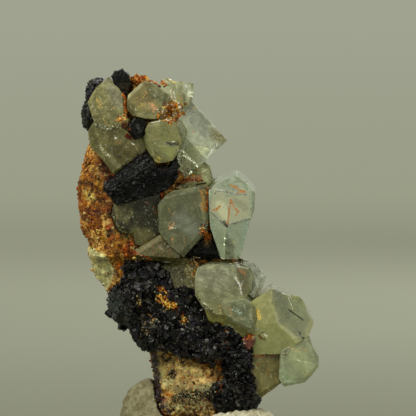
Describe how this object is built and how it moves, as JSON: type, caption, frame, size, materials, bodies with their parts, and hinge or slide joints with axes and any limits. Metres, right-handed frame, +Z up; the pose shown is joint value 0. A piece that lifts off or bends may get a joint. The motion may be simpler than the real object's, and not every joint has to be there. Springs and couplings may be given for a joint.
{
  "type": "aquamarine specimen",
  "caption": "Cluster of pale green aquamarine crystals with black tourmaline on orange-brown feldspar, standing upright in a lump of soft putty.",
  "frame": {"origin": "middle of the putty's flat underside, on the resting surface", "axes": "+Z up, -Y towards the viewer of the picture, +X to the picture's right"},
  "size_m": [0.0603, 0.0299, 0.0944],
  "materials": {
    "tourmaline": "glossy black with a purple sheen",
    "beryl_etched": "hazy, finely etched",
    "beryl_glassy": "clear, polished by growth",
    "beryl_stained": "cloudy, iron stained",
    "feldspar": "granular, matt",
    "fluorite": "fine dark purple crystals",
    "putty": "matt, soft"
  },
  "bodies": {
    "root": {"tourmaline_small": "tourmaline", "tourmaline_top": "tourmaline", "tourmaline_block": "tourmaline", "tourmaline_wedge": "tourmaline", "round_crystal": "beryl_etched", "top_crystal": "beryl_etched", "upper_left_crystals": "beryl_etched", "large_prism": "beryl_glassy", "glassy_columns": "beryl_glassy", "middle_crystal": "beryl_etched", "standing_prism": "beryl_glassy", "ledge_crystal": "beryl_stained", "shaded_crystals": "beryl_etched", "shelf_crystal": "beryl_stained", "hazy_crystals": "beryl_etched", "lower_right_crystals": "beryl_etched", "lower_tip": "beryl_etched", "speckled_foot": "beryl_stained", "clear_tip": "beryl_glassy", "green_wedge": "beryl_etched", "fibrous_crystal": "beryl_stained", "rust_nodule": "beryl_stained", "matrix": "feldspar", "dark_crust": "tourmaline", "purple_rim": "fluorite", "putty": "putty"}
  },
  "joints": []
}
